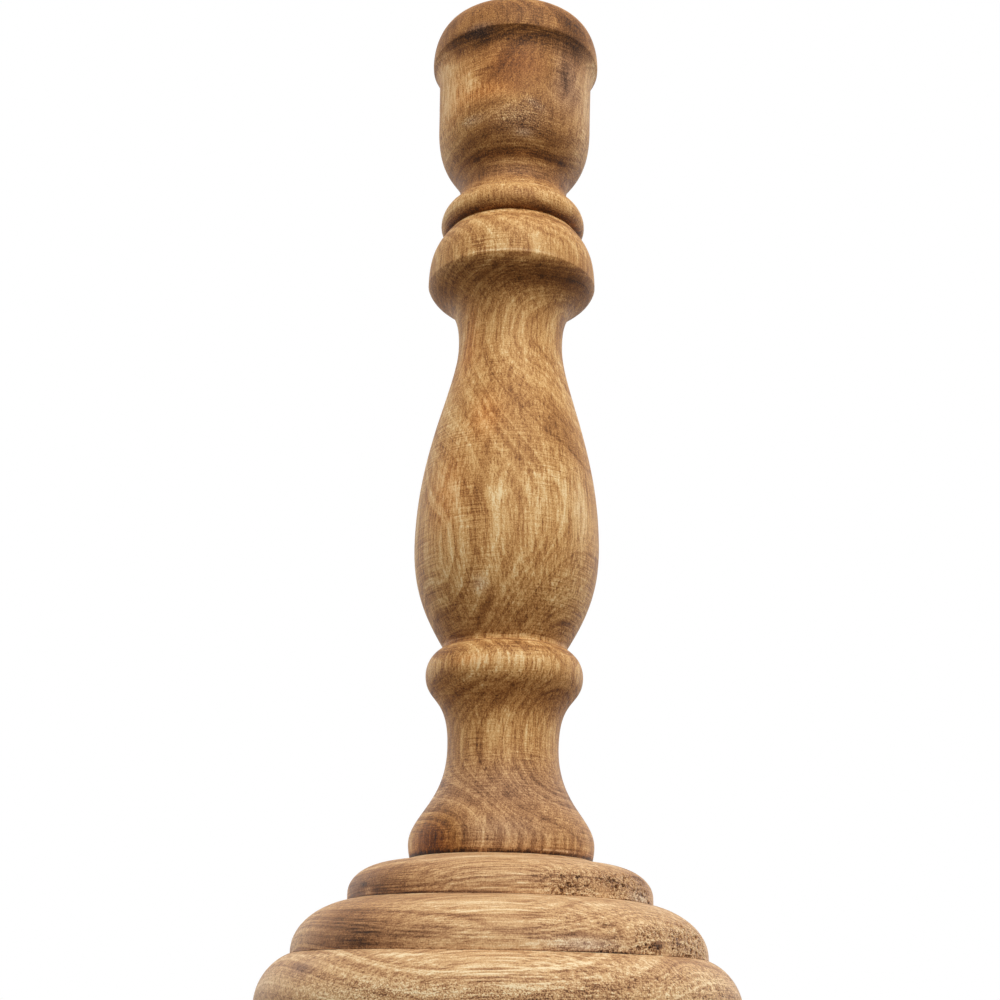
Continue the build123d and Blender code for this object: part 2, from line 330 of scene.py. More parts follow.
def chain_mesh(name, rows, kept):
    """A chain of points at (radius, height), and what each of them knows about itself."""
    mesh = bpy.data.meshes.new(name)
    points = [(r * MM, 0, z * MM) for r, z in rows]
    mesh.from_pydata(points, [(i, i + 1) for i in range(len(points) - 1)], [])
    for attribute, values in kept.items():
        layer = mesh.attributes.new(attribute, "FLOAT", "POINT")
        layer.data.foreach_set("value", values.astype(np.float32))
    return mesh


def outline_mesh(name, open_step, arris_step):
    """A turned piece's outline as a chain of points that know where on the outline they are."""
    side, below, above = outlines[name]
    stretches = [smooth_stretch(s, open_step, arris_step) for s in split_at_arrises(np.array(side))]
    turned_side = np.vstack([stretches[0]] + [s[1:] for s in stretches[1:]])
    arrises = np.array([s[0] for s in stretches] + [stretches[-1][-1]])
    drilled_through = below[-1][0] > 0
    under_side = flat_rows(side[:1] + below, arris_step)[::-1]
    top_side = flat_rows(side[-1:] + (below[-1:] if drilled_through else above), arris_step)
    rows = np.vstack([under_side, turned_side, top_side])
    on_side = np.zeros(len(rows))
    on_side[len(under_side) : len(under_side) + len(turned_side)] = 1
    gap = np.linalg.norm(rows[:, None] - arrises[None], axis=2).min(axis=1)
    kept = {
        "along": np.r_[0, np.cumsum(np.linalg.norm(np.diff(rows, axis=0), axis=1))],
        "arris": np.clip(1 - gap / ARRIS_REACH_MM, 0, 1) * on_side,
        "side": on_side,
    }
    return chain_mesh(name + "_outline", rows, kept)


print("arrises of the shaft:", len(split_at_arrises(np.array(outlines["baluster_shaft"][0]))) - 1)

# %% [markdown]
# ## A lathe in Geometry Nodes
# All five wooden pieces are made the same way on the real lathe, so one tree makes them all. It lays
# the outline's rows round the axis and closes the seam. A Screw modifier could turn an outline too,
# but the tree also carries over what each row knows about itself, which the wear below needs.

# %% The lathe tree
def new_tree(name, sockets):
    """An empty geometry tree with named inputs, and its input node."""
    made = bpy.data.node_groups.new(name, "GeometryNodeTree")
    made.interface.new_socket("Geometry", in_out="INPUT", socket_type="NodeSocketGeometry")
    for socket, kind in sockets.items():
        made.interface.new_socket(socket, in_out="INPUT", socket_type="NodeSocket" + kind)
    made.interface.new_socket("Geometry", in_out="OUTPUT", socket_type="NodeSocketGeometry")
    return made, made.nodes.new("NodeGroupInput").outputs


LATHE_INPUTS = {
    "Turn Steps": "Int",
    "Unevenness": "Float",
    "Chip Depth": "Float",
    "Chip Length": "Float",
    "Chip Share": "Float",
    "Tear Depth": "Float",
    "Tear Length": "Float",
    "Tear Toward": "Vector",
    "Seed": "Float",
    "Material": "Material",
}
SEAM_GAP_MM = 0.001
ON_POINTS = {"data_type": "FLOAT", "domain": "POINT"}

tree, given = new_tree("lathe", LATHE_INPUTS)
rows = add_node(tree, "GeometryNodeAttributeDomainSize", {0: given["Geometry"]}, component="MESH")
rows = rows.outputs["Point Count"]
columns = add_node(tree, "Math ADD", {0: given["Turn Steps"], 1: 1.0})
grid = add_node(tree, "GeometryNodeMeshGrid", {"Vertices X": columns, "Vertices Y": rows})
index = add_node(tree, "GeometryNodeInputIndex")
row = add_node(tree, "Math MODULO", {0: index, 1: rows})
column = add_node(tree, "Math DIVIDE", {0: index, 1: rows})
column = add_node(tree, "Math FLOOR", {0: column})
share = add_node(tree, "Math DIVIDE", {0: column, 1: given["Turn Steps"]})
angle = add_node(tree, "Math MULTIPLY", {0: share, 1: math.tau})
position = add_node(tree, "GeometryNodeInputPosition")
turned = {0: given["Geometry"], "Value": position, "Index": row}
turned = add_node(tree, "GeometryNodeSampleIndex", turned, data_type="FLOAT_VECTOR", domain="POINT")
turned = add_node(tree, "VectorRotate", {"Vector": turned, "Angle": angle}, rotation_type="Z_AXIS")
shell = add_node(tree, "GeometryNodeSetPosition", {"Geometry": grid, "Position": turned})
for name in ("along", "arris", "side"):
    known = add_node(tree, "GeometryNodeInputNamedAttribute", {"Name": name}, data_type="FLOAT")
    known = {0: given["Geometry"], "Value": known, "Index": row}
    known = add_node(tree, "GeometryNodeSampleIndex", known, **ON_POINTS)
    shell = {"Geometry": shell, "Name": name, "Value": known}
    shell = add_node(tree, "GeometryNodeStoreNamedAttribute", shell, **ON_POINTS)
shell = add_node(tree, "GeometryNodeMergeByDistance", {"Geometry": shell, "Distance": SEAM_GAP_MM * MM})
print(f"lathe tree so far: {len(tree.nodes)} nodes")

# %% [markdown]
# ## Wear
# Turned wood is never perfect. It is a little uneven all over and chipped along its arrises, and on
# the steep edge of a disc the grain is torn out in two opposite quarters, where the tool meets the
# fibres from the wrong side. Bump alone could show this from the front. Points that really move also
# keep it in the outline and in the mesh. Each kind of wear is a noise at its own size, and
# sets in gently between two values of that noise.

# %% Wear in the lathe tree
UNEVEN_MM = 9.0
TEAR_CLUSTER_MM = 13.0
DEEP_TEAR_MM = 0.9
RAREST_CHIP = 0.78
CHIP_RISE = 0.16

seeded = add_node(tree, "CombineXYZ", {axis: given["Seed"] for axis in "XYZ"})
place = add_node(tree, "VectorMath ADD", {0: position, 1: seeded})
arris = add_node(tree, "GeometryNodeInputNamedAttribute", {"Name": "arris"}, data_type="FLOAT")
side = add_node(tree, "GeometryNodeInputNamedAttribute", {"Name": "side"}, data_type="FLOAT")
normal = add_node(tree, "GeometryNodeInputNormal")
chip_scale = add_node(tree, "Math DIVIDE", {0: 1.0, 1: given["Chip Length"]})
tear_scale = add_node(tree, "Math DIVIDE", {0: 1.0, 1: given["Tear Length"]})
chip_from = add_node(tree, "Math SUBTRACT", {0: RAREST_CHIP, 1: given["Chip Share"]})
chip_full = add_node(tree, "Math ADD", {0: chip_from, 1: CHIP_RISE})

NOISES = {
    "uneven": {"Scale": 1 / (UNEVEN_MM * MM), "Detail": 2.0},
    "chip": {"Scale": chip_scale, "Detail": 4.0, "Roughness": 0.65},
    "cluster": {"Scale": 1 / (TEAR_CLUSTER_MM * MM), "Detail": 2.0},
    "pit": {"Scale": tear_scale, "Detail": 3.0, "Roughness": 0.6},
}
wear = {name: add_node(tree, "TexNoise", {"Vector": place, **n}) for name, n in NOISES.items()}
outward = add_node(tree, "VectorMath MULTIPLY", {0: position, 1: (1, 1, 0)})
outward = add_node(tree, "VectorMath NORMALIZE", {0: outward})
facing = {0: outward, 1: given["Tear Toward"]}
facing = add_node(tree, "VectorMath DOT_PRODUCT", facing).outputs["Value"]
# Squared, so that both opposite quarters of a disc count
wear["quarter"] = add_node(tree, "Math POWER", {0: facing, 1: 2.0})
wear["steep"] = add_node(tree, "SeparateXYZ", {0: normal}).outputs["Z"]

# Each kind of wear starts at the first value and is full at the second
SETS_IN = {
    "chip": (chip_from, chip_full),
    "quarter": (0.62, 0.88),
    "cluster": (0.35, 0.53),
    "pit": (0.5, 0.68),
    "steep": (0.9, 0.5),
}
for name, (starts, full) in SETS_IN.items():
    limits = {"Value": wear[name], "From Min": starts, "From Max": full}
    wear[name] = add_node(tree, "MapRange", limits, interpolation_type="SMOOTHSTEP")

tears = add_node(tree, "Math DIVIDE", {0: given["Tear Depth"], 1: DEEP_TEAR_MM * MM})
torn = wear["quarter"]
for share in (wear["cluster"], side, tears, wear["steep"]):
    torn = add_node(tree, "Math MULTIPLY", {0: torn, 1: share})
pit = add_node(tree, "Math MULTIPLY", {0: torn, 1: wear["pit"]})
chip = add_node(tree, "Math MULTIPLY", {0: wear["chip"], 1: arris})
uneven = add_node(tree, "Math MULTIPLY", {0: wear["uneven"], 1: side})
# How far each point faces down, which the wood turns into painted shade on undersides
underside_shade = add_node(tree, "VectorMath DOT_PRODUCT", {0: normal, 1: (0, 0, -1)}).outputs["Value"]
underside_shade = add_node(tree, "Math MAXIMUM", {0: underside_shade, 1: 0.0})
for name, value in (("chip", chip), ("torn", torn), ("pit", pit), ("underside_shade", underside_shade)):
    shell = {"Geometry": shell, "Name": name, "Value": value}
    shell = add_node(tree, "GeometryNodeStoreNamedAttribute", shell, **ON_POINTS)

cut = 0.0
for share, depth in ((chip, "Chip Depth"), (pit, "Tear Depth"), (uneven, "Unevenness")):
    cut = add_node(tree, "Math MULTIPLY_ADD", {0: share, 1: given[depth], 2: cut})
cut = add_node(tree, "Math MULTIPLY", {0: cut, 1: -1.0})
inward = add_node(tree, "VectorMath SCALE", {0: normal, "Scale": cut})
shell = add_node(tree, "GeometryNodeSetPosition", {"Geometry": shell, "Offset": inward})
shell = add_node(tree, "GeometryNodeRealizeInstances", {"Geometry": shell})
shell = add_node(tree, "GeometryNodeSetMaterial", {"Geometry": shell, "Material": given["Material"]})
add_node(tree, "NodeGroupOutput", {"Geometry": shell})
lathe = tree
print(f"lathe tree: {len(tree.nodes)} nodes")

# %% [markdown]
# ## Running a tree
# A tree works on an object through a modifier. The modifier's inputs are set by their sockets'
# identifiers before anything is evaluated, and the result is then kept as a plain mesh, without
# live modifiers.

# %% Running a tree
SMOOTH_BELOW = math.radians(40)


def run_tree(tree, name, start_mesh, values):
    """Runs a geometry tree on a mesh and keeps the result as a plain mesh object."""
    worked = bpy.data.objects.new(name, start_mesh)
    scene.collection.objects.link(worked)
    modifier = worked.modifiers.new("tree", "NODES")
    modifier.node_group = tree
    for socket in tree.interface.items_tree:
        if socket.in_out == "INPUT" and socket.name in values:
            modifier[socket.identifier] = values[socket.name]
    evaluated = worked.evaluated_get(bpy.context.evaluated_depsgraph_get())
    made = bpy.data.meshes.new_from_object(evaluated)
    worked.modifiers.remove(modifier)
    worked.data = made
    made.name = name
    made.shade_smooth()
    made.set_sharp_from_angle(angle=SMOOTH_BELOW)
    print(f"{name}: {sum(len(face.vertices) - 2 for face in made.polygons)} triangles")
    return worked


print("smooth below", round(math.degrees(SMOOTH_BELOW)), "degrees")

# %% [markdown]
# ## Mango wood
# Mango is a pale yellow-tan to orange-brown wood with soft growth bands, long fibre streaks and short
# dark pores. A tree grows in shells round its pith, and the lathe cuts through them, which draws the
# ovals and arches of the figure. So a band is a noise over the distance from a pith beside the axis,
# where a flat wood pattern would not follow the mouldings. The wood is sanded on the lathe and thinly
# waxed, so it is satin, a little hairy at grazing angles, and scratched round the axis by the
# sandpaper. Each of these is one noise at its own real size. They add up to one lightness, and a
# colour ramp from dark heartwood to pale sapwood turns that into colour. The cup comes from another
# blank than the shaft, and the base from boards whose grain lies flat, so there are three cuts.

# %% Mango wood
WOOD_COLOURS = {
    0.0: "#2C1606",
    0.2: "#5E3815",
    0.4: "#925F30",
    0.58: "#BC874D",
    0.76: "#DCAE70",
    1.0: "#F4DAA8",
}
HEART_TINT = "#FFD09C"
GREYED_SATURATION = 0.6
BAND_MM = 4.0
BAND_TAPER_SHARE = 0.04
FIGURE_MM = 55.0
FIGURE_LENGTH_SHARE = 0.6
FIGURE_SWAY_MM = 7.0
FIBRE_MM = 0.7
STREAK_MM = 2.6
STREAK_LENGTH_MM = 45.0
PORE_MM = 0.4
PORE_LENGTH_MM = 2.6
STIPPLE_MM = 0.42
SANDING_MM = 0.45
SANDING_LENGTH_SHARE = 0.35
CLOUD_MM = 24.0
FIBRE_LIFT_MM = 0.12
# Shares of wear and marks in the lightness; the last share is painted shade on surfaces that face down
WEAR_AND_SHADE_SHARES = {
    "sanding": 0.7,
    "pore": -0.16,
    "tone": 1.0,
    "crumbs": 0.9,
    "pit": -0.45,
    "chip": 0.15,
    "underside_shade": -0.18,
}
LIFT_SHARES = {"fibre": 0.6, "sanding": 0.8, "pore": -0.4, "crumbs": 3.0}
ROUGH_SHARE = 0.3
SMOOTHEST = 0.42


def mango_wood(name, grain_turn, pith_mm, fibre_length_mm, shares, lightness, warmth=0.0):
    """Turned, sanded and waxed mango wood. grain_turn lays the fibres along another axis than Z."""
    made, tree, shader = new_material(name)
    here = add_node(tree, "TexCoord").outputs["Object"]
    here = add_node(tree, "VectorMath SCALE", {0: here, "Scale": 1 / MM})
    seen = {}
    for attribute in ("along", "tone", "warmth", "pit", "torn", "chip", "underside_shade"):
        kept = add_node(tree, "Attribute", attribute_name=attribute)
        seen[attribute] = kept.outputs["Fac"]
    grain = add_node(tree, "Mapping", {"Vector": here, "Rotation": grain_turn})

    # Figure: the fibres sway as they grow, so the same sway bends bands, fibres and pores
    sway = (1 / FIGURE_MM, 1 / FIGURE_MM, FIGURE_LENGTH_SHARE / FIGURE_MM)
    sway = add_node(tree, "Mapping", {"Vector": grain, "Scale": sway})
    sway = add_node(tree, "TexNoise", {"Vector": sway, "Scale": 1.0, "Detail": 1.0})
    sway = add_node(tree, "VectorMath SUBTRACT", {0: sway.outputs["Color"], 1: (0.5, 0.5, 0.5)})
    sway = add_node(tree, "VectorMath SCALE", {0: sway, "Scale": 2 * FIGURE_SWAY_MM})
    swayed = add_node(tree, "VectorMath ADD", {0: grain, 1: sway})

    # Growth bands: shells round the pith that narrow slowly along it, cut through by the lathe
    depth = add_node(tree, "VectorMath SUBTRACT", {0: swayed, 1: pith_mm})
    depth = add_node(tree, "VectorMath MULTIPLY", {0: depth, 1: (1, 1, BAND_TAPER_SHARE)})
    depth = add_node(tree, "VectorMath LENGTH", {0: depth}).outputs["Value"]
    band = {"W": depth, "Scale": 1 / BAND_MM, "Detail": 5.0, "Roughness": 0.85}
    seen["band"] = add_node(tree, "TexNoise", band, noise_dimensions="1D")

    # Streaks, fibres and pores: long noise along the grain, each at its own width
    for pattern, wide, length, detail in (
        ("streak", STREAK_MM, STREAK_LENGTH_MM, 3.0),
        ("fibre", FIBRE_MM, fibre_length_mm, 3.0),
        ("pore", PORE_MM, PORE_LENGTH_MM, 1.0),
    ):
        stretch = (1 / wide, 1 / wide, 1 / length)
        stretched = add_node(tree, "Mapping", {"Vector": swayed, "Scale": stretch})
        noise = {"Vector": stretched, "Scale": 1.0, "Detail": detail, "Roughness": 0.6}
        seen[pattern] = add_node(tree, "TexNoise", noise)
    pore = {"Value": seen["pore"], "From Min": 0.56, "From Max": 0.74}
    seen["pore"] = add_node(tree, "MapRange", pore)
    stipple = {"Vector": here, "Scale": 1 / STIPPLE_MM, "Detail": 1.0}
    seen["stipple"] = add_node(tree, "TexNoise", stipple)
    cloud = {"Vector": swayed, "Scale": 1 / CLOUD_MM, "Detail": 3.0}
    seen["cloud"] = add_node(tree, "TexNoise", cloud)

    # Sandpaper lines run round the axis, strong in some patches and gone in others
    row = add_node(tree, "Math MULTIPLY", {0: seen["along"], 1: 1 / SANDING_MM})
    row = add_node(tree, "CombineXYZ", {"Z": row})
    outward = add_node(tree, "VectorMath MULTIPLY", {0: here, 1: (1, 1, 0)})
    outward = add_node(tree, "VectorMath NORMALIZE", {0: outward})
    outward = add_node(tree, "VectorMath SCALE", {0: outward, "Scale": 1 / SANDING_LENGTH_SHARE})
    lines = add_node(tree, "VectorMath ADD", {0: outward, 1: row})
    lines = add_node(tree, "TexNoise", {"Vector": lines, "Scale": 1.0, "Detail": 2.0})
    lines = add_node(tree, "Math SUBTRACT", {0: lines, 1: 0.5})
    patch = add_node(tree, "TexNoise", {"Vector": here, "Scale": 1 / CLOUD_MM, "Detail": 1.0})
    patch = add_node(tree, "MapRange", {"Value": patch, "From Min": 0.4, "From Max": 0.62})
    seen["sanding"] = add_node(tree, "Math MULTIPLY", {0: lines, 1: patch})

    # A mark is broken up by the fibres that it lies on, and torn grain by crumbs
    broken = {"Value": seen["fibre"], "From Min": 0.3, "From Max": 0.7, "To Min": 0.3, "To Max": 1.7}
    broken = {0: seen["tone"], 1: add_node(tree, "MapRange", broken)}
    seen["tone"] = add_node(tree, "Math MULTIPLY", broken)
    crumbs = add_node(tree, "Math SUBTRACT", {0: seen["stipple"], 1: 0.5})
    crumbs = {0: crumbs, 1: seen["torn"]}
    seen["crumbs"] = add_node(tree, "Math MULTIPLY", crumbs)

    # Lightness: every pattern adds its share, and so do marks, chips and torn pits, and surfaces that
    # face down get painted shade
    value = lightness - sum(shares.values()) / 2
    for pattern, share in {**shares, **WEAR_AND_SHADE_SHARES}.items():
        value = add_node(tree, "Math MULTIPLY_ADD", {0: seen[pattern], 1: share, 2: value})
    ramp = add_node(tree, "ValToRGB", {"Fac": value})
    stops = ramp.color_ramp.elements
    for place, colour in WOOD_COLOURS.items():
        stop = stops[0] if place == 0 else stops[-1] if place == 1 else stops.new(place)
        stop.color = linear(colour)

    # Warmth: orange heartwood where it is above nought, greyed wood where it is below
    warmth = add_node(tree, "Math ADD", {0: seen["warmth"], 1: warmth})
    warm = add_node(tree, "Math MAXIMUM", {0: warmth, 1: 0.0})
    grey = add_node(tree, "Math MULTIPLY", {0: warmth, 1: -1.0})
    colour = {0: warm, 6: ramp, 7: linear(HEART_TINT)}
    colour = add_node(tree, "Mix", colour, data_type="RGBA", blend_type="MULTIPLY").outputs[2]
    muted = add_node(tree, "HueSaturation", {"Saturation": GREYED_SATURATION, "Color": colour})
    colour = add_node(tree, "Mix", {0: grey, 6: colour, 7: muted}, data_type="RGBA").outputs[2]

    # Satin wax: rougher where fibres stand up, with hardly any mirror gloss
    rough = add_node(tree, "Math MULTIPLY_ADD", {0: seen["stipple"], 1: ROUGH_SHARE, 2: SMOOTHEST})
    lift = seen["stipple"]
    for pattern, share in LIFT_SHARES.items():
        lift = add_node(tree, "Math MULTIPLY_ADD", {0: seen[pattern], 1: share, 2: lift})
    bump = add_node(tree, "Bump", {"Height": lift, "Distance": FIBRE_LIFT_MM * MM, "Strength": 0.8})
    feed(tree, shader, {"Base Color": colour, "Roughness": rough, "Normal": bump})
    feed(tree, shader, {"IOR": 1.5, "Specular IOR Level": 0.16})
    feed(tree, shader, {"Sheen Weight": 0.06, "Sheen Roughness": 0.4})
    return made


# Turned along the grain: fibres run up the piece, with ovals on swellings and stripes on waists
spindle_wood = mango_wood(
    "mango_turned_along_the_grain",
    grain_turn=(0, 0, 0),
    pith_mm=(9, -3, 0),
    fibre_length_mm=12.0,
    shares={"band": 0.85, "streak": 0.5, "fibre": 0.7, "stipple": 0.6, "cloud": 0.15},
    lightness=0.63,
)
# The cup's blank is cloudier, with shorter fibres
cup_wood = mango_wood(
    "mango_turned_along_the_grain_cup",
    grain_turn=(0, 0, 0),
    pith_mm=(3, 4, 60),
    fibre_length_mm=7.0,
    shares={"band": 0.75, "streak": 0.35, "fibre": 0.7, "stipple": 0.75, "cloud": 0.25},
    lightness=0.64,
)
# Turned across the grain: long level streaks in front, and paler, greyer wood
base_wood = mango_wood(
    "mango_turned_across_the_grain",
    grain_turn=(0, math.pi / 2, 0),
    pith_mm=(-48, -38, 0),
    fibre_length_mm=40.0,
    shares={"band": 0.9, "streak": 0.3, "fibre": 1.0, "stipple": 0.5, "cloud": 0.15},
    lightness=0.66,
    warmth=-0.28,
)
print("three cuts of mango wood")

# %% [markdown]
# ## Marks of this piece of wood, and painted shade and light
# No two stands have the same figure. The photograph shows where this one has pale sapwood, dark heart
# streaks, greyed patches and flecks. Some marks are painted shade and painted light instead: dark
# rings in the cove under the lip, in the grooves beside beads, on the neck under the bowl, on the top
# of the lower bead and under the foot, dark lines in the gaps under the tiers, and pale patches where
# the ends of the cove, the edges of the cup and the beads catch light. They could be painted on an
# image, but then the wood would need a picture file. Instead each is listed: where it is in the
# picture, its real half width and half height in millimetres, how much it lightens and warms the
# wood, how torn it is and how far it leans. A mark that is ALL_ROUND wide is a ring. A ray from the
# camera through that place finds the spot on the piece, and the mark is then measured along the
# surface, so it stays on the wood from every side.

# %% Marks on the wood
ALL_ROUND = 400
Mark = namedtuple("Mark", "x y wide tall tone warmth torn lean", defaults=(0, 0, 0, 0))


def spot_on(piece, picture_x, picture_y):
    """The point of a piece that the photograph shows at this place."""
    focal = LENS_MM / SENSOR_MM * PICTURE_PIXELS
    across = (picture_x - PICTURE_PIXELS / 2) / focal
    up = (PICTURE_PIXELS / 2 - picture_y) / focal
    ray = camera.matrix_world.to_3x3() @ Vector((across, up, -1))
    hit, spot, _, _ = piece.ray_cast(CAMERA_PLACE, ray.normalized())
    if not hit:
        raise ValueError(f"{piece.name} isn't at {picture_x}, {picture_y}")
    return np.array(spot) / MM


def mark_wood(piece, marks):
    """Writes the piece's marks on its points, as tone, warmth and more torn grain."""
    mesh = piece.data
    points = np.zeros(len(mesh.vertices) * 3, np.float32)
    mesh.vertices.foreach_get("co", points)
    points = points.reshape(-1, 3) / MM
    along = np.zeros(len(points), np.float32)
    mesh.attributes["along"].data.foreach_get("value", along)
    torn = np.zeros(len(points), np.float32)
    mesh.attributes["torn"].data.foreach_get("value", torn)
    azimuth = np.arctan2(points[:, 1], points[:, 0])
    sums = {"tone": np.zeros(len(points)), "warmth": np.zeros(len(points)), "torn": torn.astype(float)}
    for mark in marks:
        spot = spot_on(piece, mark.x, mark.y)
        nearest = np.argmin(np.linalg.norm(points - spot, axis=1))
        across = (azimuth - math.atan2(spot[1], spot[0]) + math.pi) % math.tau - math.pi
        across *= math.hypot(spot[0], spot[1])
        upward = along - along[nearest]
        lean = math.radians(mark.lean)
        beside = across * math.cos(lean) - upward * math.sin(lean)
        ahead = across * math.sin(lean) + upward * math.cos(lean)
        weight = np.exp(-((beside / mark.wide) ** 2) - (ahead / mark.tall) ** 2)
        for name in sums:
            sums[name] += getattr(mark, name) * weight
    for name, values in sums.items():
        layer = mesh.attributes.get(name) or mesh.attributes.new(name, "FLOAT", "POINT")
        layer.data.foreach_set("value", values.astype(np.float32))


MARKS = {}
MARKS["candle_cup"] = [
    Mark(515, 90, ALL_ROUND, 60, -0.11),
    Mark(515, 8, ALL_ROUND, 6, -0.18),
    Mark(572, 22, 6, 6, -0.1),
    # Painted shade: the dark band in the cove under the lip, with some darker wood
    Mark(515, 36, 26, 4.5, -0.24),
    # The next two marks are painted light: the ends of the cove, lit from the sides
    Mark(443, 70, 9, 5, 0.24, warmth=0.3),
    Mark(593, 82, 7, 4, 0.28, warmth=0.1),
    Mark(580, 66, 4, 4, -0.16),
    # The next two marks are painted light: the cup's left and right edges, lit from the sides
    Mark(444, 112, 9, 24, 0.26, warmth=0.15),
    Mark(587, 112, 9, 24, 0.2, warmth=-0.25),
    # The next three marks are more painted shade in the cove, darkest at the left, with some darker
    # wood
    Mark(479, 31, 5, 2.5, -0.16, warmth=-0.5),
    Mark(460, 38, 7, 3, -0.2),
    Mark(575, 47, 6, 3, -0.1),
    Mark(515, 62, 16, 8, -0.1, warmth=0.4),
    Mark(486, 90, 11, 4, 0.14, warmth=0.5),
    Mark(472, 86, 5, 3.5, 0.18),
    Mark(530, 88, 8, 4, -0.13),
    Mark(545, 108, 8, 4, -0.12),
    Mark(495, 102, 9, 0.8, -0.1),
    Mark(456, 93, 8, 12, 0.2, warmth=0.4),
    Mark(470, 82, 4, 4, 0.12),
    Mark(566, 80, 8, 13, -0.28, warmth=-0.45),
    Mark(570, 125, 5, 6, 0.06),
    Mark(515, 125, 22, 6, -0.07),
    Mark(520, 117, 9, 6, warmth=-0.2, torn=0.8),
    Mark(470, 122, 5, 2, 0.06, warmth=-0.3, torn=0.9),
    Mark(512, 116, 5, 0.8, 0.06, torn=0.6, lean=-15),
    Mark(535, 104, 4, 1.5, 0.05, warmth=-0.3, torn=0.7, lean=30),
    Mark(512, 142, 18, 0.5, 0.1),
    Mark(512, 146.5, 22, 0.5, -0.14),
    Mark(508, 153, 22, 1, -0.18, warmth=0.3),
    Mark(580, 158, 4, 5, -0.12),
    Mark(560, 161, 7, 0.9, -0.22),
    Mark(470, 162, 8, 1, -0.06),
    Mark(524, 133, 3, 1.5, 0.14, warmth=-0.4),
    Mark(555, 150, 8, 2, -0.06),
    Mark(512, 161, 14, 0.5, 0.14),
    # Painted shade on the neck under the bowl, painted light on the top of the bead, and painted shade
    # in the groove above the collar
    Mark(515, 170, ALL_ROUND, 4, -0.16, warmth=-0.1),
    Mark(512, 187, ALL_ROUND, 2.5, 0.1),
    Mark(512, 206, ALL_ROUND, 1.2, -0.2, warmth=0.2),
]
MARKS["baluster_shaft"] = [
    Mark(512, 210, ALL_ROUND, 0.6, 0.1),
    # Painted shade at the top of the collar, under the cup's bead
    Mark(512, 213, ALL_ROUND, 0.8, -0.14),
    Mark(513, 248.5, 14, 0.45, 0.14, warmth=-0.2),
    Mark(513, 260, ALL_ROUND, 5, -0.05),
    Mark(452, 272, 8, 6, 0.1),
    Mark(535, 272, 14, 4, -0.08),
    Mark(575, 275, 8, 5, -0.1),
    Mark(470, 340, 5, 16, 0.03, warmth=0.5),
    Mark(548, 330, 6, 14, 0.05),
    Mark(525, 430, 14, 10, -0.07),
    Mark(565, 425, 5, 12, -0.14, lean=-15),
    Mark(485, 415, 6, 9, 0.05, warmth=0.5),
    Mark(445, 490, 8, 14, 0.16, warmth=0.5),
    Mark(480, 477, 2.5, 10, -0.16),
    Mark(499, 490, 3, 10, 0.14),
    Mark(518, 483, 1.5, 10, -0.1),
    Mark(550, 490, 9, 14, 0.1),
    Mark(580, 510, 5, 16, 0.12, warmth=-0.1),
    Mark(445, 570, 9, 12, 0.12),
    Mark(505, 580, 14, 14, 0.07),
    Mark(480, 585, 2.5, 2.5, 0.12, warmth=-0.3),
    Mark(486, 605, 2, 5, -0.16, lean=25),
    Mark(460, 628, 10, 4, -0.14),
    Mark(545, 613, 3, 1.2, -0.14),
    Mark(564, 624, 4, 1.5, -0.14, lean=-20),
    Mark(560, 590, 8, 9, 0.08),
    Mark(452, 642, 8, 2, -0.16, warmth=0.2),
    # The next two marks are painted shade: the groove above the lower bead, and the bead's top, which
    # faces away from the light
    Mark(503, 639, ALL_ROUND, 0.5, -0.22),
    Mark(503, 645, ALL_ROUND, 2, -0.12),
    Mark(470, 658, 6, 2, 0.06, warmth=0.4),
    # Painted highlight on the lower bead
    Mark(503, 657, 18, 2, 0.18, warmth=0.1),
    Mark(505, 672, 20, 3, 0.08),
    Mark(505, 700, 30, 4, -0.06),
    Mark(500, 790, ALL_ROUND, 12, -0.16, warmth=-0.3),
    Mark(505, 722, 14, 5, 0.07),
    Mark(450, 735, 8, 14, -0.1),
    Mark(428, 832, 12, 10, -0.12, warmth=0.2),
    Mark(434, 840, 8, 5, -0.24, warmth=0.5),
    Mark(500, 835, 20, 6, -0.08, warmth=-0.3),
    # Painted shade under the rounded bottom edge of the foot
    Mark(500, 851, ALL_ROUND, 0.8, -0.4),
    Mark(562, 849, 9, 0.4, -0.2),
    Mark(562, 852, 9, 0.4, 0.3, warmth=-0.3),
]
MARKS["base_tier_top"] = [
    Mark(385, 878, 16, 8, -0.26, warmth=0.1),
    Mark(353, 886, 10, 6, -0.26),
    Mark(376, 886, 8, 1.8, -0.14),
    Mark(364, 884, 2.5, 0.9, -0.3),
    Mark(368, 891, 2.5, 1.1, 0.32, warmth=-0.2),
    # Painted shadow in the gap under the top tier's lower edge
    Mark(425, 892.2, 30, 0.4, -0.4),
    Mark(600, 880, 14, 4, -0.1),
    Mark(640, 880, 7, 4, -0.26),
    Mark(590, 893, 10, 1.2, 0.08),
    Mark(640, 899, 6, 2.2, 0.22, warmth=-0.5),
]
